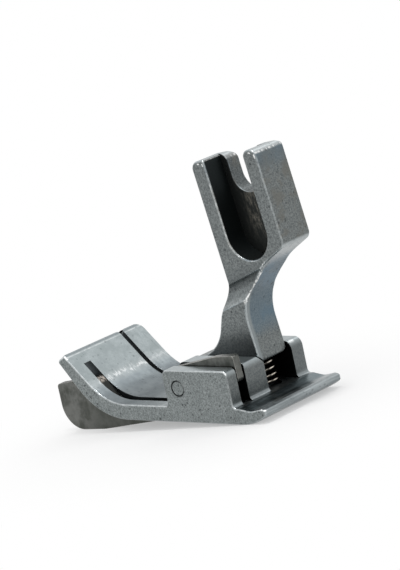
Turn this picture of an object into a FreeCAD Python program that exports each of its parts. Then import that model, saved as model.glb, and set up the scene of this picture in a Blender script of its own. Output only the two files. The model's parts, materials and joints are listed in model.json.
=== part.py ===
import FreeCAD, Part
import math
import os

# Hinged presser foot with a sprung edge guide. Millimetres, +Z up.
# The origin is on the sole's underside, at mid-width, straight below the hinge pin.
# -Y is the toe, +Y the heel, +X the side that carries the edge guide.

# Sole plate
sole_width = 14.6
sole_thickness = 2.1
toe_reach = 19.7          # pin to the toe's upper tip, along Y
toe_rise = 8.5            # height of the toe's upper tip
toe_tip_thickness = 1.6
toe_tip_slope = 60.0       # lean of the toe's end face, degrees
toe_slope = 46.0          # top of the turned-up toe, degrees
toe_under_slope = 53.0    # underside of the turned-up toe, degrees
toe_bend_radius = 8.0
toe_under_radius = 10.0
toe_corner_radius = 1.2
toe_guide_corner_radius = 0.5    # corner on the edge guide's side
heel_reach = 14.3         # pin to the back of the heel lip, along Y
heel_corner_radius = 0.5
heel_bend_length = 4.9    # part of the underside, from its end, that turns up
heel_bend_radius = 10.0
heel_lip_height = 2.15
heel_lip_thickness = 0.92
heel_lip_lean = 0.15      # how far the lip's end leans over, in Y and Z
heel_dip = 0.3            # depth of the trough between the hinge walls and the lip
heel_foot_share = 0.08    # of the room between the walls' foot and the heel's end
heel_trough_share = 0.45
heel_lip_share = 0.17
heel_lip_round_share = 0.3      # of the lip's thickness
heel_bend_round_share = 0.8     # of the bend's radius
edge_round = 0.25

# Hinge block: three walls with two channels between them, from +X to -X
block_front = 2.4         # ahead of the pin
block_rear = 8.9          # behind the pin
block_height = 6.9
guide_wall = 1.75
guide_channel = 1.6
middle_wall = 3.6
tongue_channel = 5.4
wall_front_round = 1.0
guide_wall_rear_round = 0.7
middle_wall_rear_round = 0.4
outer_wall_rear_round = 1.1
middle_wall_chamfer = 1.0
foot_fillet = 0.5

# Hinge pin, flush with both sides of the sole
pin_radius = 1.0
pin_height = 4.5
pin_hole_clearance = 0.02
pin_running_clearance = 0.04
pin_end_chamfer = 0.12

# Needle slit and hole
needle_slit_width = 0.7
needle_slit_from_edge = 3.78    # slit centre to the -X edge
needle_hole_radius = 0.85
needle_hole_ahead = 5.4         # ahead of the pin
slit_mouth_round = 0.5
slit_mouth_overlap = 0.1        # past the toe's end

# Edge guide: a flat lever on the hinge pin
guide_thickness = 1.05
guide_side_gap = 0.22           # to the outermost wall
guide_slot_clearance = 0.09
guide_slot_front = 18.1         # slot's front end on the toe's top, ahead of the pin
guide_slot_ceiling_rise = 0.35  # rise of the slot's front end towards the toe's tip
guide_slot_rear = 1.2
guide_nose_reach = 24.2
guide_drop = 2.45               # how far the nose's corner hangs below the sole
guide_nose_radius = 3.3
guide_blade_depth = 6.3
guide_blade_end = 16.4          # where the blade's top turns down into the arm
guide_blade_round = 0.5
guide_blade_lift = 0.2          # underside of the arm's rear end above the sole's underside
guide_arm_start = 12.6
guide_arm_top = 1.1
guide_arm_end = 3.4             # where the arm's top meets the hub
guide_arm_round = 1.2
guide_under_slope = 8.3
guide_top_slope = 8.4
guide_hub_radius = 2.0
guide_hub_margin = 0.1          # material beyond the hub's radius, ahead and behind
guide_hub_shoulder = 0.6        # below the pin's centre
guide_hub_round = 0.6
guide_crown_round = 8.0
guide_crown_length = 3.2
guide_tail_reach = 8.75
guide_tail_height = 8.3
guide_tail_depth = 3.4
guide_tail_slope = 9.2
guide_tail_round = 0.45
guide_tail_lean = 0.15          # how far the tail's end leans to the rear
stop_gap = 0.05

# Shank, in its own frame: the pin is the origin and the presser bar is upright
shank_thickness = 5.3
shank_lean = 7.6                # rest angle towards the toe, degrees
head_front = 7.0                # behind the pin
head_width = 11.35
head_bottom = 14.0              # above the pin
head_height = 12.5
head_corner_round = 1.0
head_far_round = 1.2
head_edge_round = 0.3
head_far_bevel = 0.25           # edges on the side away from the presser bar
head_rear_round = 1.1
bar_groove_width = 6.8
bar_groove_depth = 3.15
bar_groove_behind = 5.7         # groove centre behind the head's front
bar_groove_end_height = 2.4     # centre of the groove's round end above head_bottom
bar_groove_rim = 0.15
bar_groove_front_mouth = 0.35     # rounding of the groove's upper corners
bar_groove_rear_mouth = 0.9
screw_slot_width = 5.0
screw_slot_end_height = 9.45    # centre of the slot's round end above head_bottom
screw_slot_mouth = 1.2
neck_rear = 8.4
neck_rear_corner = 7.75         # where the tongue's back and the hollow meet, above the pin
neck_rear_radius = 5.8
neck_shoulder_behind = 13.9     # where the hollow turns towards the head's underside
neck_shoulder_height = 12.2
neck_shoulder_radius = 8.0
neck_front_top = 10.4           # where the head's front face ends, above the pin
neck_front_round = 1.2
neck_waist_behind = 4.1         # convex corner of the neck's front, behind the pin
neck_waist_height = 6.9
neck_waist_radius = 3.0
flare_behind = 1.7              # where the flare of the neck meets the hub's top
flare_radius = 5.4
neck_relief_depth = 0.45
neck_relief_width = 2.7
neck_relief_height = 9.2        # above the pin, at the head's front face
neck_relief_slope = 12.0
tongue_under = 0.14             # tongue's underside above the pin's centre
tongue_rear_round = 0.4
tongue_corner_cut = 0.8
tongue_corner_start = 0.6       # behind the hub's rear
hub_half_height = 2.2
hub_stop_round = 1.0
hub_rear = 2.4
hub_rear_round = 1.6

# Springs
shank_spring_radius = 1.6       # outer
shank_spring_wire = 0.45
shank_spring_turns = 4.0
shank_spring_behind = 6.4       # foot of the spring behind the pin
guide_spring_radius = 0.65
guide_spring_wire = 0.22
guide_spring_turns = 6.5
guide_spring_behind = 6.0
coil_steps = 11                 # straight steps to a turn
coil_wire_sides = 6
coil_closed_turns = 0.5         # at each end
coil_closed_gap = 0.04
spring_pocket_depth = 0.4
spring_pocket_clearance = 0.25
spring_seat_gap = 0.03

# Places that follow from the sizes above
side = sole_width / 2
guide_channel_outer = side - guide_wall
guide_channel_inner = guide_channel_outer - guide_channel
tongue_channel_inner = guide_channel_inner - middle_wall
tongue_channel_outer = tongue_channel_inner - tongue_channel
guide_outer = guide_channel_outer - guide_side_gap
guide_inner = guide_outer - guide_thickness
guide_middle = (guide_outer + guide_inner) / 2
tongue_middle = (tongue_channel_inner + tongue_channel_outer) / 2
shank_outer = tongue_middle + shank_thickness / 2
shank_inner = tongue_middle - shank_thickness / 2
reach_beyond = 5.0              # how far a cutting shape runs past the whole solid
overrun = 1.0                   # how far one passes the face that it cuts
hair = 0.01                     # allowance for edges found by their boxes
underside_band = 0.05           # edges no higher than this belong to the flat underside

Vec = FreeCAD.Vector


def rise(slope):
    return math.tan(math.radians(slope))


def outline(corners, x):
    # Closed outline in the Y-Z plane at x; each corner is (y, z, radius).
    edges = []
    count = len(corners)
    points = [Vec(x, y, z) for y, z, r in corners]
    trims = []
    for i in range(count):
        before = (points[i - 1] - points[i]).normalize()
        after = (points[(i + 1) % count] - points[i]).normalize()
        half = before.getAngle(after) / 2
        radius = corners[i][2]
        trim = radius / math.tan(half)
        middle = points[i] + (before + after).normalize() * (radius / math.sin(half) - radius)
        trims.append((points[i] + before * trim, middle, points[i] + after * trim))
    for i in range(count):
        start, middle, end = trims[i]
        if corners[i][2] > 0:
            edges.append(Part.Arc(start, middle, end).toShape())
        following = trims[(i + 1) % count][0]
        if (following - end).Length > 1e-6:
            edges.append(Part.LineSegment(end, following).toShape())
    return Part.Wire(edges)


def plate(corners, x_low, x_high):
    face = Part.Face(outline(corners, x_low))
    return face.extrude(Vec(x_high - x_low, 0, 0))


def across(radius, y, z, x_low, x_high):
    return Part.makeCylinder(radius, x_high - x_low, Vec(x_low, y, z), Vec(1, 0, 0))


def edges_in(shape, low, high):
    # The edges whose whole box lies between two corner points
    found = []
    for edge in shape.Edges:
        box = edge.BoundBox
        inside_low = box.XMin >= low[0] and box.YMin >= low[1] and box.ZMin >= low[2]
        inside_high = box.XMax <= high[0] and box.YMax <= high[1] and box.ZMax <= high[2]
        if inside_low and inside_high:
            found.append(edge)
    return found


def sole_strip():
    # Side view of the plate: turned-up toe, flat underside, heel lip
    tip_y = -toe_reach
    tip_z = toe_rise
    tip_lean = math.radians(toe_tip_slope)
    under_y = tip_y - toe_tip_thickness * math.sin(tip_lean)
    under_z = tip_z - toe_tip_thickness * math.cos(tip_lean)
    bend_y = tip_y + (tip_z - sole_thickness) / rise(toe_slope)
    under_bend_y = under_y + under_z / rise(toe_under_slope)
    heel_turn = math.asin(heel_bend_length / heel_bend_radius)
    heel_bend_y = heel_reach - heel_bend_length + heel_bend_radius * math.tan(heel_turn / 2)
    lip_under_z = heel_lip_height - heel_lip_thickness
    lip_round = heel_lip_thickness * heel_lip_round_share
    foot_y = block_rear + foot_fillet
    room = heel_reach - foot_y
    side_view = [
        (tip_y, tip_z, 0),
        (bend_y, sole_thickness, toe_bend_radius),
        (foot_y + room * heel_foot_share, sole_thickness, room * heel_foot_share),
        (foot_y + room * heel_trough_share, sole_thickness - heel_dip, room * heel_trough_share),
        (heel_reach - room * heel_lip_share, heel_lip_height, room * heel_lip_share / 2),
        (heel_reach, heel_lip_height - heel_lip_lean, lip_round),
        (heel_reach - heel_lip_lean, lip_under_z, lip_round),
        (heel_bend_y, 0, heel_bend_radius * heel_bend_round_share),
        (under_bend_y, 0, toe_under_radius),
        (under_y, under_z, 0),
    ]
    strip = plate(side_view, -side, side)
    for x, radius in ((-side, toe_corner_radius), (side, toe_guide_corner_radius)):
        low = (x - hair, under_y - hair, under_z - hair)
        corner = edges_in(strip, low, (x + hair, tip_y + hair, tip_z + hair))
        strip = strip.makeFillet(radius, corner)
    return strip.common(heel_outline())


def heel_outline():
    # Block that holds the plate and rounds the two corners of its heel
    front = -toe_reach - reach_beyond
    box = Part.makeBox(sole_width, heel_reach - front, toe_rise + 2 * overrun, Vec(-side, front, -overrun))
    low = (-side - overrun, heel_reach - hair, -2 * overrun)
    upright = edges_in(box, low, (side + overrun, heel_reach + hair, toe_rise + 3 * overrun))
    return box.makeFillet(heel_corner_radius, [edge for edge in upright if edge.BoundBox.ZLength > toe_rise])


def hinge_wall(x_low, x_high, rear_round):
    # Wall with rounded upper corners and a hollow foot that runs out onto the plate
    root = sole_thickness / 4
    front_foot = -block_front - foot_fillet
    rear_foot = block_rear + foot_fillet
    side_view = [
        (front_foot, root, 0),
        (front_foot, sole_thickness, 0),
        (-block_front, sole_thickness, foot_fillet),
        (-block_front, block_height, wall_front_round),
        (block_rear, block_height, rear_round),
        (block_rear, sole_thickness, foot_fillet),
        (rear_foot, sole_thickness, 0),
        (rear_foot, root, 0),
    ]
    return plate(side_view, x_low, x_high)


def sole():
    near = hinge_wall(guide_channel_outer, side, guide_wall_rear_round)
    middle = hinge_wall(tongue_channel_inner, guide_channel_inner, middle_wall_rear_round)
    middle = middle.cut(corner_prism(tongue_channel_inner, block_height, middle_wall_chamfer))
    outer = hinge_wall(-side, tongue_channel_outer, outer_wall_rear_round)
    body = sole_strip().fuse([near, middle, outer]).removeSplitter()
    body = body.makeFillet(edge_round, [edge for edge in body.Edges if is_rim(edge)])
    body = body.cut(guide_slot())
    body = body.cut(needle_slit())
    pin_hole = across(pin_radius + pin_hole_clearance, 0, pin_height, -side - overrun, side + overrun)
    body = body.cut(pin_hole)
    body = body.cut(floor_pocket(shank_spring_radius, tongue_middle, shank_spring_behind))
    body = body.cut(floor_pocket(guide_spring_radius, guide_middle, guide_spring_behind))
    return body.removeSplitter()


def is_rim(edge):
    # Edges round the plate's outline on its two sides, above the flat underside
    box = edge.BoundBox
    on_side = box.XLength < hair and abs(abs(box.XMin) - side) < hair
    return on_side and box.ZMax > underside_band


def corner_prism(x, z, size):
    # Triangular bar that takes a corner off along Y, on the +X side of x
    points = [
        Vec(x - overrun, 0, z + overrun),
        Vec(x - overrun, 0, z - size - overrun),
        Vec(x + size + overrun, 0, z + overrun),
    ]
    face = Part.Face(Part.makePolygon(points + [points[0]]))
    length = block_front + block_rear + 2 * overrun
    face.translate(Vec(0, -block_front - overrun, 0))
    return face.extrude(Vec(0, length, 0))


def guide_slot():
    # Slot through the plate for the edge guide, with its front end sloping up under the toe
    width = guide_thickness + 2 * guide_slot_clearance
    end_z = toe_rise - (toe_reach - guide_slot_front) * rise(toe_slope)
    front = -toe_reach - reach_beyond
    side_view = [
        (-guide_slot_rear, -reach_beyond, 0),
        (-guide_slot_rear, toe_rise + overrun, 0),
        (-guide_slot_front, toe_rise + overrun, 0),
        (-guide_slot_front, end_z, 0),
        (front, end_z + guide_slot_ceiling_rise, 0),
        (front, -reach_beyond, 0),
    ]
    return plate(side_view, guide_middle - width / 2, guide_middle + width / 2)


def needle_slit():
    x = -side + needle_slit_from_edge
    half = needle_slit_width / 2
    length = toe_reach + reach_beyond - needle_hole_ahead
    base = Vec(x - half, -toe_reach - reach_beyond, -overrun)
    height = toe_rise + 3 * overrun
    slit = Part.makeBox(needle_slit_width, length, height, base)
    hole = Part.makeCylinder(needle_hole_radius, height, Vec(x, -needle_hole_ahead, -overrun))
    return slit.fuse([hole, slit_mouth(x - half, -1), slit_mouth(x + half, 1)])


def slit_mouth(x, turn):
    # What rounds the toe's corner beside the slit, square to the sloping toe
    size = slit_mouth_round
    height = toe_tip_thickness + 2 * overrun
    base = Vec(min(x, x + turn * size), -slit_mouth_overlap, -toe_tip_thickness - overrun)
    block = Part.makeBox(size, size + slit_mouth_overlap, height, base)
    centre = Vec(x + turn * size, size, base.z)
    mouth = block.cut(Part.makeCylinder(size, height, centre))
    mouth.rotate(Vec(0, 0, 0), Vec(1, 0, 0), -toe_slope)
    mouth.translate(Vec(0, -toe_reach, toe_rise))
    return mouth


def floor_pocket(spring_radius, x, y):
    radius = spring_radius + spring_pocket_clearance / 2
    base = Vec(x, y, sole_thickness - spring_pocket_depth)
    return Part.makeCylinder(radius, spring_pocket_depth + hair, base)


def hinge_pin():
    pin = across(pin_radius, 0, pin_height, -side, side)
    return pin.makeChamfer(pin_end_chamfer, [e for e in pin.Edges if e.BoundBox.XLength < hair])


def guide_lever():
    # Outline at rest: blade below the toe, arm in the slot, hub on the pin, tail at the rear
    blade_bottom_y = -guide_blade_end - guide_blade_round
    blade_drop = (blade_bottom_y + guide_slot_rear) * rise(guide_under_slope)
    blade_bottom_z = guide_blade_lift + blade_drop
    nose_top_z = -guide_drop + guide_blade_depth
    blade_top_z = nose_top_z + (guide_nose_reach - guide_blade_end) * rise(guide_top_slope)
    hub_front_y = -guide_hub_radius - guide_hub_margin
    slot_rear_y = -guide_slot_rear - guide_slot_clearance
    tail_front_z = guide_tail_height - (guide_tail_reach + guide_hub_radius) * rise(guide_tail_slope)
    tail_under_z = guide_tail_height - guide_tail_depth
    hub_under_z = tail_under_z - (guide_tail_reach - guide_hub_radius) * rise(guide_tail_slope)
    stop_z = sole_thickness + stop_gap
    side_view = [
        (-guide_nose_reach, nose_top_z, guide_blade_round),
        (-guide_blade_end, blade_top_z, guide_blade_round),
        (-guide_arm_start, guide_arm_top, guide_arm_round),
        (-guide_arm_end, guide_arm_top + guide_blade_lift, guide_hub_round),
        (hub_front_y, pin_height - guide_hub_shoulder, guide_hub_round),
        (hub_front_y, tail_front_z, guide_hub_round),
        (guide_tail_reach - guide_crown_length, guide_tail_height - guide_blade_lift, guide_crown_round),
        (guide_tail_reach, guide_tail_height, guide_tail_round),
        (guide_tail_reach + guide_tail_lean, tail_under_z, guide_hub_round),
        (guide_hub_radius + guide_hub_margin, hub_under_z, guide_hub_round),
        (guide_hub_radius / 2, stop_z + guide_hub_margin, guide_hub_round),
        (0, stop_z, 0),
        (slot_rear_y, stop_z, stop_gap),
        (slot_rear_y, guide_blade_lift, guide_arm_round / 4),
        (blade_bottom_y, blade_bottom_z, guide_crown_round),
        (-guide_nose_reach, -guide_drop, guide_nose_radius),
    ]
    lever = plate(side_view, guide_inner, guide_outer)
    bore = pin_radius + pin_running_clearance
    return lever.cut(across(bore, 0, pin_height, guide_inner - overrun, guide_outer + overrun))


def shank_profile():
    # Upright side view about the pin: head, neck, tongue and hub. The two corners of radius 0
    # are inside the hinge block and end the rounded rim.
    head_rear = head_front + head_width
    head_top = head_bottom + head_height
    return [
        (head_front, head_top, head_corner_round),
        (head_rear, head_top, head_corner_round),
        (head_rear, head_bottom, head_rear_round),
        (neck_shoulder_behind, neck_shoulder_height, neck_shoulder_radius),
        (neck_rear, neck_rear_corner, neck_rear_radius),
        (neck_rear, tongue_under, tongue_rear_round),
        (hub_rear, tongue_under, 0),
        (hub_rear, -hub_half_height, hub_rear_round),
        (-hub_half_height, -hub_half_height, hub_stop_round),
        (-hub_half_height, hub_half_height, 0),
        (flare_behind, hub_half_height, flare_radius),
        (neck_waist_behind, neck_waist_height, neck_waist_radius),
        (head_front, neck_front_top, neck_front_round),
    ]


def upright_shank():
    body = plate(shank_profile(), shank_inner, shank_outer)
    body = body.makeFillet(head_edge_round, shank_rim_edges(body, shank_outer))
    body = body.makeChamfer(head_far_bevel, shank_rim_edges(body, shank_inner))
    body = body.cut(head_far_corner())
    body = body.cut(bar_groove())
    body = body.cut(screw_slot())
    for x, turn in ((shank_outer, 1), (shank_inner, -1)):
        body = body.cut(neck_relief(x, turn))
    for x, turn in ((shank_outer, 1), (shank_inner, -1)):
        body = body.cut(tongue_corner(x, turn))
    bore = pin_radius + pin_running_clearance
    return body.cut(across(bore, 0, 0, shank_inner - overrun, shank_outer + overrun))


def head_far_corner():
    # What the large round takes off the head's top edge on the side away from the presser bar
    top = head_bottom + head_height
    size = head_far_round + overrun
    length = head_front + 2 * head_width
    base = Vec(shank_inner - overrun, 0, top - head_far_round)
    block = Part.makeBox(size, length, size, base)
    centre = Vec(shank_inner + head_far_round, 0, top - head_far_round)
    return block.cut(Part.makeCylinder(head_far_round, length, centre, Vec(0, 1, 0)))


def shank_rim_edges(body, x):
    # The shank's whole outline on one of its sides
    chosen = []
    for edge in body.Edges:
        box = edge.BoundBox
        if box.XLength < hair and abs(box.XMin - x) < hair:
            chosen.append(edge)
    return chosen


def bar_groove():
    # Channel for the presser bar: open at the top, round at the bottom, with a bevelled rim
    z = head_bottom + bar_groove_end_height
    radius = bar_groove_width / 2
    mouths = (bar_groove_front_mouth, bar_groove_rear_mouth)
    back = shank_outer - bar_groove_depth
    channel = u_channel(z, radius, mouths, back, shank_outer + overrun)
    edge = Part.Wire(u_outline(z, radius, mouths, shank_outer - bar_groove_rim, 0))
    wide = Part.Wire(u_outline(z, radius, mouths, shank_outer + bar_groove_rim, 2 * bar_groove_rim))
    rim = Part.makeLoft([edge, wide], True)
    return channel.fuse(rim)


def screw_slot():
    z = head_bottom + screw_slot_end_height
    mouths = (screw_slot_mouth, screw_slot_mouth)
    return u_channel(z, screw_slot_width / 2, mouths, shank_inner - overrun, shank_outer)


def u_channel(z, radius, mouths, x_low, x_high):
    face = Part.Face(Part.Wire(u_outline(z, radius, mouths, x_low, 0)))
    return face.extrude(Vec(x_high - x_low, 0, 0))


def u_outline(z, radius, mouths, x, wider):
    # U with a round bottom whose two sides end in quarter rounds at the head's top;
    # the whole outline can be made wider all round
    y = head_front + bar_groove_behind
    top = head_bottom + head_height
    high = top + reach_beyond
    radius = radius + wider
    walls = []
    for turn, mouth in zip((-1, 1), mouths):
        bend = top - mouth
        mouth = mouth - wider
        middle = mouth * math.sqrt(0.5)
        outside = y + turn * (radius + mouth)
        walls.append((
            Vec(x, outside, high),
            Vec(x, outside, bend + mouth),
            Vec(x, outside - turn * middle, bend + middle),
            Vec(x, y + turn * radius, bend),
            Vec(x, y + turn * radius, z),
        ))
    front, rear = walls
    return [
        Part.LineSegment(front[0], front[1]).toShape(),
        Part.Arc(front[1], front[2], front[3]).toShape(),
        Part.LineSegment(front[3], front[4]).toShape(),
        Part.Arc(front[4], Vec(x, y, z - radius), rear[4]).toShape(),
        Part.LineSegment(rear[4], rear[3]).toShape(),
        Part.Arc(rear[3], rear[2], rear[1]).toShape(),
        Part.LineSegment(rear[1], rear[0]).toShape(),
        Part.LineSegment(rear[0], front[0]).toShape(),
    ]


def neck_relief(x, turn):
    # Shallow round-bottomed cut across one side of the neck
    radius = (neck_relief_width ** 2 / 4 + neck_relief_depth ** 2) / (2 * neck_relief_depth)
    slope = math.radians(neck_relief_slope)
    direction = Vec(0, math.cos(slope), math.sin(slope))
    centre_x = x + turn * (radius - neck_relief_depth)
    start = Vec(centre_x, head_front, neck_relief_height)
    start = start - direction * head_width
    return Part.makeCylinder(radius, 2 * head_width, start, direction)


def tongue_corner(x, turn):
    # Bar that takes off the tongue's lower long corner at its rear
    size = tongue_corner_cut
    start = hub_rear + tongue_corner_start
    points = [
        Vec(x + turn * overrun, start, tongue_under - overrun),
        Vec(x - turn * (size + overrun), start, tongue_under - overrun),
        Vec(x + turn * overrun, start, tongue_under + size + overrun),
    ]
    face = Part.Face(Part.makePolygon(points + [points[0]]))
    return face.extrude(Vec(0, neck_rear, 0))


def leaning(shape):
    shape = shape.copy()
    shape.translate(Vec(0, 0, pin_height))
    shape.rotate(Vec(0, 0, pin_height), Vec(1, 0, 0), shank_lean)
    return shape


def tongue_pocket():
    # Seat for the spring's upper end, square to the tongue's underside
    y, length = shank_spring_place()
    radius = shank_spring_radius + spring_pocket_clearance / 2
    base = Vec(tongue_middle, y, tongue_under - overrun)
    return Part.makeCylinder(radius, spring_pocket_depth + overrun, base)


def shank_spring_place():
    # The spring stands square to the tongue's underside. Its place along the tongue and its
    # length, from the floor pocket to the tongue's pocket, in the shank's upright frame.
    lean = math.radians(shank_lean)
    floor = sole_thickness - spring_pocket_depth - pin_height
    y = shank_spring_behind * math.cos(lean) + floor * math.sin(lean)
    foot = -shank_spring_behind * math.sin(lean) + floor * math.cos(lean)
    foot = foot + shank_spring_radius * math.sin(lean)
    length = tongue_under + spring_pocket_depth - foot - 2 * spring_seat_gap
    return y, length


def coil(radius, wire, turns, length):
    # Wire wound on a helix that stands on the X-Y plane, in short straight steps, with closed ends
    steps = round(turns * coil_steps)
    closed_pitch = wire + coil_closed_gap
    open_turns = turns - 2 * coil_closed_turns
    open_pitch = (length - wire - 2 * coil_closed_turns * closed_pitch) / open_turns
    sections = []
    for step in range(steps + 1):
        turn = turns * step / steps
        first = min(turn, coil_closed_turns)
        middle = min(turn - first, open_turns)
        last = turn - first - middle
        height = wire / 2 + (first + last) * closed_pitch + middle * open_pitch
        sections.append(wire_section(radius - wire / 2, wire / 2, 2 * math.pi * turn, height))
    return Part.makeLoft(sections, True, True)


def wire_section(path_radius, wire_radius, angle, height):
    points = []
    for side_number in range(coil_wire_sides):
        around = 2 * math.pi * side_number / coil_wire_sides
        reach = path_radius + wire_radius * math.cos(around)
        rise_here = height + wire_radius * math.sin(around)
        points.append(Vec(reach * math.cos(angle), reach * math.sin(angle), rise_here))
    return Part.makePolygon(points + [points[0]])


def shank_spring():
    y, length = shank_spring_place()
    solid = coil(shank_spring_radius, shank_spring_wire, shank_spring_turns, length)
    top = tongue_under + spring_pocket_depth - spring_seat_gap
    solid.translate(Vec(tongue_middle, y, top - length))
    return leaning(solid)


def guide_spring():
    floor = sole_thickness - spring_pocket_depth + spring_seat_gap
    tail_under = guide_tail_height - guide_tail_depth
    ahead_of_end = guide_tail_reach + guide_tail_lean - guide_spring_behind + guide_spring_radius
    drop = ahead_of_end * rise(guide_tail_slope)
    length = tail_under - drop - spring_seat_gap - floor
    solid = coil(guide_spring_radius, guide_spring_wire, guide_spring_turns, length)
    solid.translate(Vec(guide_middle, guide_spring_behind, floor))
    return solid


def shank():
    return leaning(upright_shank().cut(tongue_pocket()))


def write(name, shape):
    solids = shape.Solids
    print(name, "solids", len(solids), "valid", shape.isValid(), "volume", round(shape.Volume, 3))
    shape = solids[0] if len(solids) == 1 else shape
    shape.exportStep("parts/" + name + ".step")


os.makedirs("parts", exist_ok=True)
write("sole", sole())
write("hinge_pin", hinge_pin())
write("shank", shank())
write("guide_lever", guide_lever())
write("shank_spring", shank_spring())
write("guide_spring", guide_spring())
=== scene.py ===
import bpy
import json
import math
from mathutils import Matrix, Vector


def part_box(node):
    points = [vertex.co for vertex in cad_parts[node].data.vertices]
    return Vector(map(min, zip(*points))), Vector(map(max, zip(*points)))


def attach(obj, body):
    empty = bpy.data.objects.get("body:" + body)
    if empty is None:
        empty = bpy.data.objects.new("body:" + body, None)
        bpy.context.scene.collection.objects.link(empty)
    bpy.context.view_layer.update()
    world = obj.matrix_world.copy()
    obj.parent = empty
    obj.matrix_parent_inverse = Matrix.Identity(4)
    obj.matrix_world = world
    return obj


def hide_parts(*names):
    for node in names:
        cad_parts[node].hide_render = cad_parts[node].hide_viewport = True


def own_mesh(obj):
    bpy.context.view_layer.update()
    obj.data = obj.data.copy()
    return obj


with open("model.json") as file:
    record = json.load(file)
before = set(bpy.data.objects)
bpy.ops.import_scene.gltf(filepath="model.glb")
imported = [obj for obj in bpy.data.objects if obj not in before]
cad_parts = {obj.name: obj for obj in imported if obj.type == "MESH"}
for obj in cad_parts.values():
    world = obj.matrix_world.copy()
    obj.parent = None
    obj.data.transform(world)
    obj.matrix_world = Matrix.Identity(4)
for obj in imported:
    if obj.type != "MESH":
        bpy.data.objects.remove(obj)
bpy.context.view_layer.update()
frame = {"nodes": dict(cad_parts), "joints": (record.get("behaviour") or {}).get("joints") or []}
print("frame loaded:", len(frame["nodes"]), "nodes")

mm = 0.001
pinPlace = Vector(frame["joints"][0]["pos_m"])    # the hinge pin's axis runs along X through here


# Small helpers for node trees

def addNode(tree, kind, inputs=None, **settings):
    made = tree.nodes.new(kind)
    for name, value in settings.items():
        setattr(made, name, value)
    for name, value in (inputs or {}).items():
        setInput(tree, made.inputs[name], value)
    return made


def setInput(tree, socket, value):
    if isinstance(value, bpy.types.NodeSocket):
        tree.links.new(value, socket)
    else:
        socket.default_value = value


def maths(tree, operation, first, second=0.0, third=0.0):
    return addNode(tree, "ShaderNodeMath", {0: first, 1: second, 2: third}, operation=operation).outputs[0]


def product(tree, first, *others):
    for other in others:
        first = maths(tree, "MULTIPLY", first, other)
    return first


def inverse(tree, value):
    return maths(tree, "SUBTRACT", 1.0, value)


def vectorMaths(tree, operation, first, second=(0.0, 0.0, 0.0), third=(0.0, 0.0, 0.0)):
    made = addNode(tree, "ShaderNodeVectorMath", {0: first, 1: second, 2: third}, operation=operation)
    return made.outputs["Value" if operation in ("LENGTH", "DISTANCE", "DOT_PRODUCT") else "Vector"]


def axes(tree, vector):
    return addNode(tree, "ShaderNodeSeparateXYZ", {0: vector}).outputs


def remap(tree, value, span, base=0.0, smooth=True):
    # span holds from and to, counted from the base, then the values there where they aren't 0 and 1
    low, high, *ends = span
    if base:
        low, high = low + base, high + base
    toLow, toHigh = ends or (0.0, 1.0)
    inputs = {"Value": value, "From Min": low, "From Max": high, "To Min": toLow, "To Max": toHigh}
    kind = "SMOOTHSTEP" if smooth else "LINEAR"
    return addNode(tree, "ShaderNodeMapRange", inputs, interpolation_type=kind).outputs["Result"]


def zone(tree, value, span, base=0.0):
    # 1 between low and high; span holds these two and the soft distance over which the ends fade
    low, high, soft = span
    rise = remap(tree, value, (low - soft, low + soft), base)
    fall = remap(tree, value, (high - soft, high + soft, 1.0, 0.0), base)
    return product(tree, rise, fall)


def mixValue(tree, factor, first, second):
    return addNode(tree, "ShaderNodeMix", {0: factor, 2: first, 3: second}).outputs[0]


def mixColour(tree, factor, first, second):
    return addNode(tree, "ShaderNodeMix", {0: factor, 6: first, 7: second}, data_type="RGBA").outputs[2]


def colour(red, green, blue):
    return (red, green, blue, 1.0)


def texture(tree, vector, scale, detail, roughness):
    return addNode(tree, "ShaderNodeTexNoise", {"Vector": vector, "Scale": scale, "Detail": detail,
                                                "Roughness": roughness}).outputs


def noise(tree, vector, size, detail=2.0, roughness=0.55):
    # a soft noise whose patches are about this size
    return texture(tree, vector, 1 / size, detail, roughness)[0]


def newGroup(name, inputs, outputs):
    tree = bpy.data.node_groups.new(name, "ShaderNodeTree")
    for label, kind, value in inputs:
        socket = tree.interface.new_socket(label, in_out="INPUT", socket_type="NodeSocket" + kind)
        if value is not None:
            socket.default_value = value
    for label, kind in outputs:
        tree.interface.new_socket(label, in_out="OUTPUT", socket_type="NodeSocket" + kind)
    return tree, tree.nodes.new("NodeGroupInput").outputs, tree.nodes.new("NodeGroupOutput")


def placeGroup(tree, group, inputs):
    made = tree.nodes.new("ShaderNodeGroup")
    made.node_tree = group
    for name, value in inputs.items():
        setInput(tree, made.inputs[name], value)
    return made.outputs


# Effects that several materials share

castSpeckle = {
    "grainNoise": (2.0, 0.8),       # detail and roughness
    "grainSpan": (0.34, 0.62),
    "grainHeight": 0.5,
    "blotchNoise": (4.0, 0.62),
    "blotchSpan": (0.36, 0.64),
    "warp": 0.35 * mm,    # how far the pits are pushed out of round
    "pitSize": (0.12, 0.42),
    "pitEdge": (0.0, 0.12),
}


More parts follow.
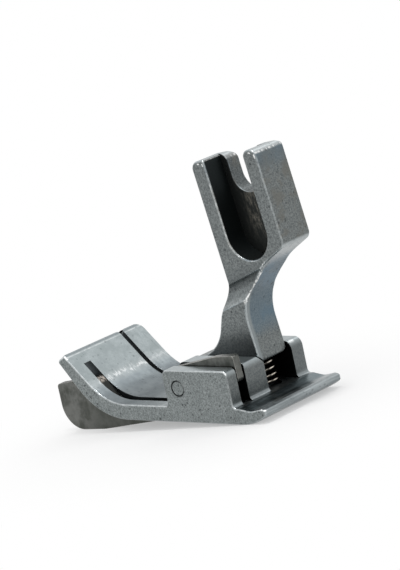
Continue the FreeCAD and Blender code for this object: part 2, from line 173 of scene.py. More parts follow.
def buildSpeckleGroup():
    # fine cast speckle, soft blotches and scattered dark pits
    tree, given, result = newGroup(
        "castSpeckle",
        [("Vector", "Vector", None), ("Grain", "Float", 0.13), ("Blotch", "Float", 0.9),
         ("Pit Spacing", "Float", 0.8), ("Pit Share", "Float", 0.3)],
        [("Grain", "Float"), ("Blotch", "Float"), ("Pits", "Float"), ("Height", "Float")])
    spot = given["Vector"]
    grainScale, blotchScale, pitScale = [maths(tree, "DIVIDE", 1 / mm, given[name])
                                         for name in ("Grain", "Blotch", "Pit Spacing")]
    grain = texture(tree, spot, grainScale, *castSpeckle["grainNoise"])
    blotch = texture(tree, spot, blotchScale, *castSpeckle["blotchNoise"])
    warped = vectorMaths(tree, "MULTIPLY_ADD", grain["Color"], (castSpeckle["warp"],) * 3, spot)
    cells = addNode(tree, "ShaderNodeTexVoronoi", {"Vector": warped, "Scale": pitScale, "Randomness": 1.0})
    pick = addNode(tree, "ShaderNodeSeparateColor", {"Color": cells.outputs["Color"]}).outputs
    chosen = maths(tree, "LESS_THAN", pick["Red"], given["Pit Share"])
    pitSize = mixValue(tree, pick["Green"], *castSpeckle["pitSize"])
    edge = maths(tree, "SUBTRACT", pitSize, cells.outputs["Distance"])
    pits = product(tree, remap(tree, edge, castSpeckle["pitEdge"]), chosen)
    height = maths(tree, "SUBTRACT", product(tree, grain[0], castSpeckle["grainHeight"]), pits)
    setInput(tree, result.inputs["Grain"], remap(tree, grain[0], castSpeckle["grainSpan"], smooth=False))
    setInput(tree, result.inputs["Blotch"], remap(tree, blotch[0], castSpeckle["blotchSpan"]))
    setInput(tree, result.inputs["Pits"], pits)
    setInput(tree, result.inputs["Height"], height)
    return tree


edgeWear = {
    "patches": (0.45 * mm, 3.0),    # size and detail of the worn stretches
    "patchSpan": (0.38, 0.6),
    "rim": (0.38, 0.93, 0.10),
    "near": 0.35 * mm,    # how far an outer edge is told from an inner one
    "outerSpan": (0.80, 0.97),
    "far": 3.0 * mm,    # how far the open sides are told from the channels
    "samples": 8,
}


def buildEdgeGroup():
    # masks for the outer edges, which are painted bright as wear and as painted highlight: Mask on the
    # sharp ones, Rim on the rounding between sides and outline
    tree, given, result = newGroup(
        "edgeWear",
        [("Radius", "Float", 0.2 * mm), ("Low", "Float", 0.02), ("High", "Float", 0.18),
         ("Breakup", "Float", 0.5)],
        [("Mask", "Float"), ("Rim", "Float"), ("Open", "Float"), ("Normal", "Vector")])
    samples = edgeWear["samples"]
    bevel = addNode(tree, "ShaderNodeBevel", {"Radius": given["Radius"]}, samples=samples).outputs[0]
    flat = addNode(tree, "ShaderNodeNewGeometry").outputs["Normal"]
    turn = inverse(tree, vectorMaths(tree, "DOT_PRODUCT", bevel, flat))
    place = addNode(tree, "ShaderNodeTexCoord").outputs
    worn = remap(tree, noise(tree, place["Object"], *edgeWear["patches"]), edgeWear["patchSpan"])
    kept = inverse(tree, product(tree, given["Breakup"], inverse(tree, worn)))
    near, far = [addNode(tree, "ShaderNodeAmbientOcclusion", {"Distance": edgeWear[name]}, samples=samples,
                         only_local=True).outputs["AO"] for name in ("near", "far")]
    outer = remap(tree, near, edgeWear["outerSpan"])
    rim = zone(tree, maths(tree, "ABSOLUTE", axes(tree, place["Normal"])["X"]), edgeWear["rim"])
    mask = remap(tree, turn, (given["Low"], given["High"]))
    setInput(tree, result.inputs["Mask"], product(tree, mask, kept, outer))
    setInput(tree, result.inputs["Rim"], product(tree, rim, kept, outer))
    setInput(tree, result.inputs["Open"], far)
    setInput(tree, result.inputs["Normal"], bevel)
    return tree


grindLines = {
    "lines": (1.0, 3.0, 0.7),       # scale, detail and roughness
    "lineSpan": (0.3, 0.7),
    "scratches": (0.45, 4.0, 0.75),
    "scratchSpan": (0.63, 0.72),
}


def buildGrindGroup():
    # fine parallel grinding lines; Spread says how fine they are along each axis
    tree, given, result = newGroup(
        "grindLines",
        [("Vector", "Vector", None), ("Spread", "Vector", (7000.0, 450.0, 450.0))],
        [("Lines", "Float"), ("Scratches", "Float")])
    spread = vectorMaths(tree, "MULTIPLY", given["Vector"], given["Spread"])
    lines = texture(tree, spread, *grindLines["lines"])[0]
    few = texture(tree, spread, *grindLines["scratches"])[0]
    setInput(tree, result.inputs["Lines"], remap(tree, lines, grindLines["lineSpan"], smooth=False))
    setInput(tree, result.inputs["Scratches"], remap(tree, few, grindLines["scratchSpan"]))
    return tree


polishedSparkle = {
    "patch": 0.35 * mm,
    "wander": 1.2,    # how far its outline strays, in parts of its size
    "fade": (1.1, 0.6),
    "facing": (0.80, 0.92),
}


def buildCornerGroup():
    # a small uneven spot round one place, painted as polish and as a painted highlight sparkle
    tree, given, result = newGroup(
        "polishedSparkle",
        [("Vector", "Vector", None), ("Place", "Vector", (0.0, 0.0, 0.0)), ("Size", "Float", 0.4 * mm),
         ("Facing", "Vector", (0.5, 0.5, 0.7))],
        [("Mask", "Float")])
    normal = addNode(tree, "ShaderNodeTexCoord").outputs["Normal"]
    towards = vectorMaths(tree, "DOT_PRODUCT", normal, given["Facing"])
    apart = vectorMaths(tree, "DISTANCE", given["Vector"], given["Place"])
    uneven = maths(tree, "SUBTRACT", noise(tree, given["Vector"], polishedSparkle["patch"]), 0.5)
    uneven = product(tree, uneven, polishedSparkle["wander"])
    reach = maths(tree, "ADD", maths(tree, "DIVIDE", apart, given["Size"]), uneven)
    mask = product(tree, remap(tree, reach, polishedSparkle["fade"]), remap(tree, towards, polishedSparkle["facing"]))
    setInput(tree, result.inputs["Mask"], mask)
    return tree


speckleGroup = buildSpeckleGroup()
cornerGroup = buildCornerGroup()
edgeGroup = buildEdgeGroup()
grindGroup = buildGrindGroup()


def newMaterial(name):
    material = bpy.data.materials.new(name)
    material.use_nodes = True
    tree = material.node_tree
    tree.nodes.clear()
    surface = tree.nodes.new("ShaderNodeOutputMaterial")
    shader = tree.nodes.new("ShaderNodeBsdfPrincipled")
    tree.links.new(shader.outputs[0], surface.inputs["Surface"])
    return material, tree, shader


class Look:
    # one steel: its material, its dictionary of values, and steps that use these values by name

    def __init__(self, name, settings):
        self.settings = settings
        self.material, self.tree, self.shader = newMaterial(name)
        place = addNode(self.tree, "ShaderNodeTexCoord").outputs
        self.spot, self.normal = place["Object"], place["Normal"]
        self.speckle = placeGroup(self.tree, speckleGroup, {"Vector": self.spot, **settings["speckle"]})
        if "wear" in settings:
            self.wear = placeGroup(self.tree, edgeGroup, settings["wear"])

    def setFrame(self, place, direction):
        # the frame in which its spans along X, Y and Z are given
        self.parts, self.facing = axes(self.tree, place), axes(self.tree, direction)
        if "sides" in self.settings:
            self.onSide = self.ramp(maths(self.tree, "ABSOLUTE", self.facing["X"]), "sides")

    def ramp(self, value, name, base=None):
        return remap(self.tree, value, self.settings[name], self.settings.get(base, 0.0))

    def band(self, value, name, base=None):
        return zone(self.tree, value, self.settings[name], self.settings.get(base, 0.0))

    def patches(self, name):
        # soft patches: size, span and detail
        size, span, detail = self.settings[name]
        return remap(self.tree, noise(self.tree, self.spot, size, detail), span)

    def streaks(self, place, name):
        # a noise drawn out along one axis: fineness along each axis, detail and roughness
        spread, detail, roughness = self.settings[name]
        stretched = vectorMaths(self.tree, "MULTIPLY", place, spread)
        return texture(self.tree, stretched, 1.0, detail, roughness)[0]

    def paint(self, tone, name, *masks):
        # a named colour laid over the tone by the product of the masks
        return mixColour(self.tree, product(self.tree, *masks), tone, self.settings[name])

    def between(self, factor, first, second):
        # from one named colour to another
        return mixColour(self.tree, factor, self.settings[first], self.settings[second])

    def cornerSpots(self):
        # all the spots of one piece painted as polish and as highlight sparkles, given as x, y, z and size
        # in millimetres
        mask = None
        for x, y, z, size in self.settings["polishedSparkles"]:
            one = placeGroup(self.tree, cornerGroup, {
                "Vector": self.spot, "Place": (x * mm, y * mm, z * mm), "Size": size * mm,
                "Facing": self.settings["sparklesFacing"]})["Mask"]
            mask = one if mask is None else maths(self.tree, "MAXIMUM", mask, one)
        return mask

    def dress(self, tone, rough, height, normal=None):
        given, settings = self.shader.inputs, self.settings
        setInput(self.tree, given["Base Color"], tone)
        given["Metallic"].default_value = 1.0
        setInput(self.tree, given["Roughness"], rough)
        inputs = {"Strength": settings["bump"], "Distance": settings["bumpDepth"], "Height": height}
        if normal:
            inputs["Normal"] = normal
        setInput(self.tree, given["Normal"], addNode(self.tree, "ShaderNodeBump", inputs).outputs[0])
        return self.material


# The sole and its pin. In these dictionaries two or four numbers are a ramp: from, to and the values
# there where they aren't 0 and 1. Three are a zone: low, high and how softly its ends fade

satinSteel = {
    "sideColour": colour(0.295, 0.322, 0.320),
    "sideDark": colour(0.128, 0.145, 0.146),
    "slopeColour": colour(0.395, 0.440, 0.450),     # top of the turned-up toe, painted lighter than the flat as lit
    "slopeDark": colour(0.300, 0.340, 0.348),
    "flatColour": colour(0.212, 0.240, 0.252),      # ground top behind the bend
    "flatDark": colour(0.172, 0.197, 0.210),
    "bendHighlight": colour(0.92, 0.94, 0.94),         # painted highlight: short bright strokes along the bend
    "wallColour": colour(0.190, 0.204, 0.202),      # rear faces of the hinge walls, painted darker as shaded
    "wallDark": colour(0.110, 0.125, 0.128),
    # troughColour, troughFar and troughGlint: painted shade in the trough, a lighter painted reflection
    # towards its far end, and painted glints
    "troughColour": colour(0.040, 0.054, 0.060),
    "troughFar": colour(0.150, 0.190, 0.206),
    "troughGlint": colour(0.185, 0.228, 0.243),
    "lipColour": colour(0.350, 0.385, 0.395),
    "lipDark": colour(0.225, 0.252, 0.260),
    "pitColour": colour(0.030, 0.034, 0.036),
    "seamColour": colour(0.010, 0.011, 0.012),
    "rimWearAndSheen": colour(0.66, 0.69, 0.70),
    "edgeWearAndSheen": colour(0.88, 0.90, 0.90),
    "shadeColour": colour(0.010, 0.012, 0.013),     # painted shade deep in the channels
    "slitColour": colour(0.070, 0.082, 0.087),      # painted shade on the walls of the slot and slit in the toe
    "topColour": colour(0.345, 0.385, 0.395),       # tops of the walls, painted lighter as lit
    "speckle": {"Grain": 0.21, "Blotch": 1.3, "Pit Spacing": 0.50, "Pit Share": 0.38},
    "wear": {"Radius": 0.10 * mm, "Low": 0.015, "High": 0.16, "Breakup": 0.55},
    "sides": (0.75, 0.97),          # how far a face turns sideways
    "upward": (0.3, 0.5),
    "slopeGrain": 0.65,
    "bendPlace": -15.75 * mm,
    "toFlat": (-0.5 * mm, 1.1 * mm),    # from the bend
    "strokes": ((4200.0, 300.0, 300.0), 2.0, 0.8),
    "strokeReach": 1.9 * mm,
    "strokeLine": (-0.16 * mm, 0.16 * mm, 0.20 * mm),
    "strokePatches": (1.1 * mm, (0.40, 0.58, 0.12, 0.67), 3.0),
    "strokesNear": (5.4 * mm, 6.0 * mm, 1.0, 0.30),
    "strokesFar": (-4.0 * mm, -3.4 * mm, 0.45, 1.0),
    "haze": (-0.4 * mm, 0.4 * mm, 0.6 * mm),
    "bendSheenShare": 0.12,
    "scratchShare": 0.55,
    "toeEnd": 8.26 * mm,    # height of the toe's upper end
    "endLine": (-0.22 * mm, -0.13 * mm, 0.05 * mm),
    "endPatches": (0.7 * mm, (0.40, 0.60, 0.20, 0.50), 3.0),
    "endBand": (-0.06 * mm, 0.02 * mm, 0.0, 0.85),
    "toeToHeel": (-12.0 * mm, -2.0 * mm),
    "farWall": (-3.8 * mm, -5.2 * mm, 0.0, 0.4),
    "wallFoot": (2.2 * mm, 2.9 * mm),
    "wallTop": (5.9 * mm, 6.9 * mm),
    "trough": (9.7 * mm, 12.0 * mm, 0.35 * mm),
    "troughAcross": (1.0 * mm, -6.0 * mm),
    "heelLines": ((160.0, 2600.0, 2600.0), 3.0, 0.6),
    "heelLineSpan": (0.35, 0.65),
    "glintPatches": (1.3 * mm, (0.44, 0.56, 0.18, 0.98), 3.0),
    "sideBlotch": 0.22,
    "pitShares": (0.30, 0.75),    # on the ground faces and on the sides
    "closedSpan": (0.66, 0.34),
    "closedShare": 0.96,
    "innerSides": (6.8 * mm, 6.3 * mm),
    "outerRims": (6.3 * mm, 6.8 * mm, 0.25, 1.0),
    "toSlit": (-7.0 * mm, -11.0 * mm),
    "rimShare": (0.05, 0.40, 0.26, 0.70),
    "edgeShare": 0.8,
    "pinRing": 1.03 * mm,
    "ringClear": (0.1 * mm, 0.3 * mm),    # from the pin's ring, where the rims' wear starts
    "seamLine": (-0.05 * mm, 0.06 * mm, 0.05 * mm),
    "seamPatches": (0.5 * mm, 3.0),
    "seamWander": 0.25 * mm,
    "seamFade": (0.36, 0.5, 0.75, 1.0),
    "polishedSparkles": [(7.26, 8.1, 6.76, 0.32), (7.24, 8.75, 6.45, 0.34), (7.28, 13.5, 2.0, 0.34),
                    (7.15, 14.15, 1.8, 0.36), (-5.7, 8.5, 6.7, 0.5), (7.1, -19.4, 8.0, 0.4)],
    "sparklesFacing": (0.5, 0.5, 0.7),
    "sideRoughness": (0.52, 0.38),    # in the grain's dark and light
    "groundRoughness": (0.27, 0.43),
    "rimRoughness": 0.24,
    "lineHeight": 0.4,
    "bump": 0.16,
    "bumpDepth": 0.03 * mm,
}


def toeTone(look, lines, upward):
    # the ground top of the toe: slope, painted highlight strokes and sheen along the bend, bluish flat
    tree, settings, parts, speckle = look.tree, look.settings, look.parts, look.speckle
    tone = look.between(speckle["Blotch"], "slopeDark", "slopeColour")
    tone = look.paint(tone, "slopeDark", speckle["Grain"], settings["slopeGrain"])
    flatTone = look.between(speckle["Blotch"], "flatDark", "flatColour")
    tone = mixColour(tree, look.ramp(parts["Y"], "toFlat", "bendPlace"), tone, flatTone)
    # painted highlight: bright strokes and a soft sheen along the bend, on the faces that look up
    shift = maths(tree, "SUBTRACT", look.streaks(look.spot, "strokes"), 0.5)
    across = maths(tree, "ADD", parts["Y"], product(tree, shift, settings["strokeReach"]))
    strokes = product(tree, look.band(across, "strokeLine", "bendPlace"),
                      look.ramp(parts["X"], "strokesNear"), look.ramp(parts["X"], "strokesFar"),
                      look.patches("strokePatches"))
    haze = product(tree, look.band(parts["Y"], "haze", "bendPlace"), settings["bendSheenShare"])
    tone = look.paint(tone, "bendHighlight", maths(tree, "MAXIMUM", strokes, haze), upward)
    tone = look.paint(tone, "flatDark", lines["Scratches"], settings["scratchShare"])
    # painted highlight along the rounding of the toe's upper end
    tone = look.paint(tone, "bendHighlight", look.band(parts["Z"], "endLine", "toeEnd"),
                      look.patches("endPatches"))
    return look.paint(tone, "flatColour", look.ramp(parts["Z"], "endBand", "toeEnd"))


def heelTone(look, upward):
    # behind the pin: rear faces of the walls painted darker as shade and their tops lighter as light, the
    # trough with painted shade, reflection and glints, and the lip
    tree, parts, speckle = look.tree, look.parts, look.speckle
    along = look.ramp(look.streaks(look.spot, "heelLines"), "heelLineSpan")
    lipTone = look.between(along, "lipDark", "lipColour")
    # painted shade in the trough, lightening to a painted reflection towards the far end, with painted
    # glints
    troughTone = look.between(look.ramp(parts["X"], "troughAcross"), "troughColour", "troughFar")
    troughTone = look.paint(troughTone, "troughGlint", along, look.patches("glintPatches"))
    inTrough = product(tree, look.band(parts["Y"], "trough"), upward)
    tone = mixColour(tree, inTrough, lipTone, troughTone)
    # painted shade on the walls' rear faces; painted light on their tops
    wallTone = look.between(speckle["Grain"], "wallDark", "wallColour")
    wallTone = look.paint(wallTone, "wallDark", look.ramp(parts["X"], "farWall"))
    tone = mixColour(tree, look.ramp(parts["Z"], "wallFoot"), tone, wallTone)
    return look.paint(tone, "topColour", look.ramp(parts["Z"], "wallTop"))


def pinReach(look):
    # distance from the pin's axis
    aside = vectorMaths(look.tree, "SUBTRACT", look.spot, tuple(pinPlace))
    return vectorMaths(look.tree, "LENGTH", vectorMaths(look.tree, "MULTIPLY", aside, (0.0, 1.0, 1.0)))


def pinSeam(look, reach):
    # thin uneven dark ring where the pin's end meets the wall
    tree, settings = look.tree, look.settings
    uneven = noise(tree, look.spot, *settings["seamPatches"])
    wander = product(tree, maths(tree, "SUBTRACT", uneven, 0.5), settings["seamWander"])
    line = look.band(maths(tree, "ADD", reach, wander), "seamLine", "pinRing")
    return product(tree, line, look.ramp(uneven, "seamFade"))


def makeSatinSteel():
    settings = satinSteel
    look = Look("satinSteel", settings)
    look.setFrame(look.spot, look.normal)
    tree, parts, facing, speckle, wear = look.tree, look.parts, look.facing, look.speckle, look.wear
    lines = placeGroup(tree, grindGroup, {"Vector": look.spot})

    upward = look.ramp(facing["Z"], "upward")
    outlineTone = mixColour(tree, look.ramp(parts["Y"], "toeToHeel"), toeTone(look, lines, upward),
                            heelTone(look, upward))
    sideTone = look.between(speckle["Grain"], "sideDark", "sideColour")
    sideTone = look.paint(sideTone, "sideDark", speckle["Blotch"], settings["sideBlotch"])
    tone = mixColour(tree, look.onSide, outlineTone, sideTone)
    pitShare = mixValue(tree, look.onSide, *settings["pitShares"])
    tone = look.paint(tone, "pitColour", speckle["Pits"], pitShare)

    # painted shade: the channels, the slot and the slit are darkened inside, where little is open around
    # them and on their inner sides
    sideways = maths(tree, "ABSOLUTE", parts["X"])
    inner = product(tree, look.onSide, look.ramp(sideways, "innerSides"))
    closed = maths(tree, "MAXIMUM", look.ramp(wear["Open"], "closedSpan"), inner)
    shade = look.between(look.ramp(parts["Y"], "toSlit"), "shadeColour", "slitColour")
    tone = mixColour(tree, product(tree, closed, settings["closedShare"]), tone, shade)

    # rims painted bright as wear and as painted highlight, the pin's seam, and painted highlight sparkles
    # at the corners
    fromPin = pinReach(look)
    outer = product(tree, look.ramp(sideways, "outerRims"), look.ramp(fromPin, "ringClear", "pinRing"))
    rimShare = look.ramp(facing["Z"], "rimShare")
    tone = look.paint(tone, "rimWearAndSheen", wear["Rim"], outer, rimShare)
    tone = look.paint(tone, "edgeWearAndSheen", wear["Mask"], outer, rimShare, settings["edgeShare"])
    tone = look.paint(tone, "seamColour", pinSeam(look, fromPin))
    tone = look.paint(tone, "edgeWearAndSheen", look.cornerSpots())

    sideRough = mixValue(tree, speckle["Grain"], *settings["sideRoughness"])
    groundRough = mixValue(tree, lines["Lines"], *settings["groundRoughness"])
    rough = mixValue(tree, look.onSide, groundRough, sideRough)
    rough = mixValue(tree, wear["Rim"], rough, settings["rimRoughness"])
    height = maths(tree, "ADD", speckle["Height"], product(tree, lines["Lines"], settings["lineHeight"]))
    return look.dress(tone, rough, height, wear["Normal"])


# The shank. Its places are given in the frame in which it stands upright, from the pin

shankSteel = {
    "sideColour": colour(0.225, 0.244, 0.243),
    "sideDark": colour(0.092, 0.104, 0.106),
    "roundColour": colour(0.205, 0.222, 0.219),
    "roundDark": colour(0.104, 0.116, 0.118),
    "blueColour": colour(0.116, 0.168, 0.208),
    # topColour is painted light: on the head's upward faces and in the relief's light band
    "topColour": colour(0.300, 0.338, 0.352),
    "brownColour": colour(0.150, 0.150, 0.136),
    "floorReflectionColour": colour(0.400, 0.430, 0.435),     # painted reflection of the floor on the head's lower rear corner
    "waistColour": colour(0.105, 0.120, 0.124),
    # pitColour is also the colour of the painted shade under the head's step and at the flare
    "pitColour": colour(0.026, 0.029, 0.032),
    "rimWearAndSheen": colour(0.58, 0.62, 0.63),
    "edgeWearAndSheen": colour(0.92, 0.93, 0.92),
    "neckEdgeWearAndSheen": colour(0.235, 0.262, 0.268),        # band beside the neck's rear edge, painted lighter as rubbed wear and as painted highlight
    # grooveColour and webColour: the groove painted near black as shade
    "grooveColour": colour(0.024, 0.029, 0.030),
    "grooveBrown": colour(0.235, 0.222, 0.190),
    "webColour": colour(0.038, 0.042, 0.041),       # the groove's flat back, painted dark as shaded
    "slotColour": colour(0.150, 0.166, 0.168),
    "slotDark": colour(0.060, 0.066, 0.068),
    "speckle": {"Grain": 0.20, "Blotch": 2.0, "Pit Spacing": 0.60, "Pit Share": 0.42},
    "wear": {"Radius": 0.16 * mm, "Low": 0.015, "High": 0.16, "Breakup": 0.6},
    "lean": 7.6,
    "sides": (0.75, 0.97),          # how far a face turns sideways
    "upward": (0.25, 0.75),
    "downward": (-0.25, -0.6),
    "brownPatches": (1.9 * mm, (0.46, 0.60), 4.0),
    "brownFrom": (13.0 * mm, 15.0 * mm),
    "brownShare": 0.7,
    "bluePatches": (3.0 * mm, (0.42, 0.60, 0.62, 1.0), 3.0),
    "blueNeck": (3.9 * mm, 13.5 * mm, 1.2 * mm),
    "blueHead": (22.5 * mm, 26.0 * mm, 0.0, 0.6),
    "topFrom": (18.0 * mm, 20.0 * mm),
    "underFrom": (11.5 * mm, 13.5 * mm),
    "waist": (9.0 * mm, 12.4 * mm, 0.9 * mm),
    "waistShare": 0.40,
    "stepPlace": 9.1 * mm,          # the head's step on the near face; its slope, then spans from it
    "stepSlope": 0.187,
    "stepEdge": (0.1 * mm, -0.1 * mm),
    "stepRim": (-1.7 * mm, 0.2 * mm, 0.2 * mm),
    "waistFrom": (-0.95 * mm, -0.65 * mm),
    "relief": (-2.5 * mm, 0.25 * mm, 0.08 * mm),
    "reliefEnd": (-2.5 * mm, -2.7 * mm),
    "shadeBelow": (-1.15 * mm, -0.6 * mm),
    "shadeAbove": (0.9 * mm, 0.1 * mm),
    "lightBand": (-2.6 * mm, -1.0 * mm, 0.25 * mm),
    "reliefFacing": (0.60, 0.75),
    "reliefPits": (0.0, 1.0, 1.0, 0.45),
    "pitShares": (0.48, 0.80),    # on the round faces and on the sides
    "shadeGrain": (0.0, 1.0, 1.0, 0.72),
    "shadeShare": 0.25,
    "lightShare": 0.17,
    "flare": (5.6 * mm, 2.6 * mm),
    "flareShare": 0.62,
    "grooveMiddle": 12.7 * mm,      # behind the pin
    "grooveEnd": 16.4 * mm,         # centre of the round end above the pin
    "grooveRadius": 3.4 * mm,
    "grooveInside": (0.08 * mm, 0.22 * mm, 1.0, 0.0),       # from the radius
    "grooveDepth": (-2.95 * mm, 0.05 * mm, 0.06 * mm),
    "grooveEdge": (-0.1 * mm, 0.5 * mm, 0.1 * mm),          # from the radius
    "grooveEdgeFrom": (-0.6 * mm, -0.4 * mm),    # from the near face
    "grooveWear": (-2.5 * mm, 0.0, 0.55, 0.3),    # from the round end upwards
    "grooveRim": (-0.05 * mm, 0.28 * mm, 0.08 * mm),        # from the radius
    "grooveRimFrom": (0.0, 0.1 * mm),
    "grooveRimPatches": (1.2 * mm, (0.40, 0.60, 0.05, 0.34), 3.0),
    "webFacing": (0.6, 0.9),
    "webStreaks": ((2600.0, 2600.0, 800.0), 4.0, 0.7),
    "webStreakSpan": (0.40, 0.66),
    "webRear": (-2.9 * mm, -0.2 * mm),    # from the groove's middle
    "webUp": (-2.2 * mm, 1.5 * mm, 0.1, 1.0),    # from the round end
    "webGrain": (0.0, 1.0, 0.45, 1.0),
    "slotRadius": 2.5 * mm,
    "slotNear": (0.5 * mm, 0.2 * mm),    # from that radius
    "slotDepth": (-3.0 * mm, -3.2 * mm),
    "slotFacing": (0.5, 0.2),
    "slotBrownFrom": (22.5 * mm, 25.5 * mm),
    "nearFace": 0.3 * mm,
    "reliefFrom": 8.25 * mm,        # the shallow relief in the near face
    "reliefSlope": 0.214,
    "reliefDepth": 0.45 * mm,
    "neckRear": ((1.21, -0.89 * mm), (0.5, 4.965 * mm)),    # slope and start of the neck's rear edge
    "neck": (4.0 * mm, 12.2 * mm, 0.4 * mm),
    "neckFacing": (0.7, 0.9),
    "neckWearAndSheen": (0.0, 1.0, 0.75, 0.06),
    "rearWear": (-0.4 * mm, -0.2 * mm, 0.0, 0.8),           # from the neck's rear edge
    "rearBand": (-0.6 * mm, -0.3 * mm),    # from the neck's rear edge
    "rearward": (0.08, 0.35),
    "neckEnd": (13.6 * mm, 12.2 * mm),
    "besideFace": (-0.85 * mm, -0.45 * mm),    # from the near face
    "stepRimFacing": (0.70, 0.80),
    "rimShare": 0.4,
    "raggedPatches": (0.5 * mm, 3.0),
    "raggedReach": 0.5 * mm,
    "ridgeFace": (-0.02 * mm, 0.12 * mm),
    "ridgeRear": (-0.02 * mm, 0.10 * mm),
    "ridge": (8.0 * mm, 12.4 * mm, 0.5 * mm),
    "ridgePatches": (0.35 * mm, (0.40, 0.50), 3.0),
    "topRimUp": (0.15, 0.5),
    "topRimRear": (0.05, 0.2),
    "topRimFrom": (24.0 * mm, 26.0 * mm),
    "topRimShare": 0.22,
    "topLine": (0.30, 0.52, 0.10),
    "dashes": ((3600.0, 300.0, 300.0), 3.0, 0.5),
    "dashSpan": (0.48, 0.60, 0.0, 0.9),
    "polishedSparkles": [(0.28, 14.50, 32.38, 0.13), (0.29, 14.53, 32.20, 0.12), (0.29, 14.57, 32.02, 0.09),
                    (0.3, 13.70, 32.68, 0.11), (0.3, 13.86, 32.64, 0.11), (0.3, 5.48, 31.45, 0.11),
                    (0.3, 5.52, 31.28, 0.10), (0.3, 4.75, 31.52, 0.11), (0.3, 4.90, 31.50, 0.11)],
    "sparklesFacing": (0.9, 0.25, 0.36),
    "roughness": (0.49, 0.35),    # in the grain's dark and light
    "rimRoughness": 0.24,
    "grooveRoughness": 0.56,
    "bump": 0.2,
    "bumpDepth": 0.03 * mm,
}


def upright(tree, vector, centre):
    # the same place or direction in the frame in which the shank stands upright
    return addNode(tree, "ShaderNodeVectorRotate", {
        "Vector": vector, "Center": tuple(centre), "Angle": -math.radians(shankSteel["lean"])},
        rotation_type="X_AXIS").outputs[0]


def shankFaces(look):
    # round faces blued and browned in places, painted lighter where they face up as lit and where they face
    # down as a floor reflection, speckled sides, and the near face's shallow relief
    tree, settings, parts, facing, speckle = look.tree, look.settings, look.parts, look.facing, look.speckle
    look.brown = product(tree, look.patches("brownPatches"), look.ramp(parts["Z"], "brownFrom"),
                         settings["brownShare"])
    roundTone = look.between(speckle["Grain"], "roundDark", "roundColour")
    roundTone = look.paint(roundTone, "brownColour", look.brown)
    blueZone = maths(tree, "MAXIMUM", look.band(parts["Z"], "blueNeck"), look.ramp(parts["Z"], "blueHead"))
    roundTone = look.paint(roundTone, "blueColour", blueZone, look.patches("bluePatches"))
    # painted light on the upward faces of the head, and a painted floor reflection on the downward ones
    roundTone = look.paint(roundTone, "topColour", look.ramp(facing["Z"], "upward"),
                           look.ramp(parts["Z"], "topFrom"))
    roundTone = look.paint(roundTone, "floorReflectionColour", look.ramp(facing["Z"], "downward"),
                           look.ramp(parts["Z"], "underFrom"))
    sideTone = look.between(speckle["Grain"], "sideDark", "sideColour")
    sideTone = look.paint(sideTone, "waistColour", look.band(parts["Z"], "waist"),
                          look.ramp(look.step, "waistFrom", "stepPlace"), settings["waistShare"])
    relief = product(tree, look.band(look.step, "relief", "stepPlace"),
                     look.ramp(facing["X"], "reliefFacing"))
    look.nearSide = maths(tree, "MAXIMUM", look.onSide, relief)
    tone = mixColour(tree, look.nearSide, roundTone, sideTone)
    pitShare = mixValue(tree, look.onSide, *settings["pitShares"])
    return look.paint(tone, "pitColour", speckle["Pits"], pitShare, look.ramp(relief, "reliefPits"))


def grooveTone(look, aside):
    # painted shade: the groove is made near black, with brown oxide on its flat back
    tone = look.between(look.ramp(look.facing["X"], "webFacing"), "grooveColour", "webColour")
    streaks = look.ramp(look.streaks(look.turned, "webStreaks"), "webStreakSpan")
    return look.paint(tone, "grooveBrown", streaks, look.ramp(aside, "webRear"),
                      look.ramp(look.parts["Z"], "webUp", "grooveEnd"),
                      look.ramp(look.speckle["Grain"], "webGrain"))


def slotTone(look, tone):
    # the screw slot's walls
    tree, parts = look.tree, look.parts
    sideways = maths(tree, "ABSOLUTE", look.facing["X"])
    inSlot = product(tree, look.ramp(parts["X"], "slotDepth"), look.ramp(sideways, "slotFacing"),
                     look.ramp(look.fromMiddle, "slotNear", "slotRadius"))
    wallTone = look.between(look.speckle["Grain"], "slotDark", "slotColour")
    wallTone = look.paint(wallTone, "brownColour", look.brown, look.ramp(parts["Z"], "slotBrownFrom"))
    return mixColour(tree, inSlot, tone, wallTone)


def stepShade(look, tone):
    # painted shade under the head's step and down at the flare, in the pits' colour, and a painted light
    # band in the relief
    tree, settings = look.tree, look.settings
    underStep = product(tree, look.ramp(look.step, "shadeBelow", "stepPlace"),
                        look.ramp(look.step, "shadeAbove", "stepPlace"),
                        look.ramp(look.speckle["Grain"], "shadeGrain"), settings["shadeShare"])
    flare = product(tree, look.ramp(look.parts["Z"], "flare"), settings["flareShare"])
    tone = look.paint(tone, "pitColour", maths(tree, "MAXIMUM", underStep, flare), look.nearSide)
    return look.paint(tone, "topColour", look.band(look.step, "lightBand", "stepPlace"), look.nearSide,
                      settings["lightShare"])


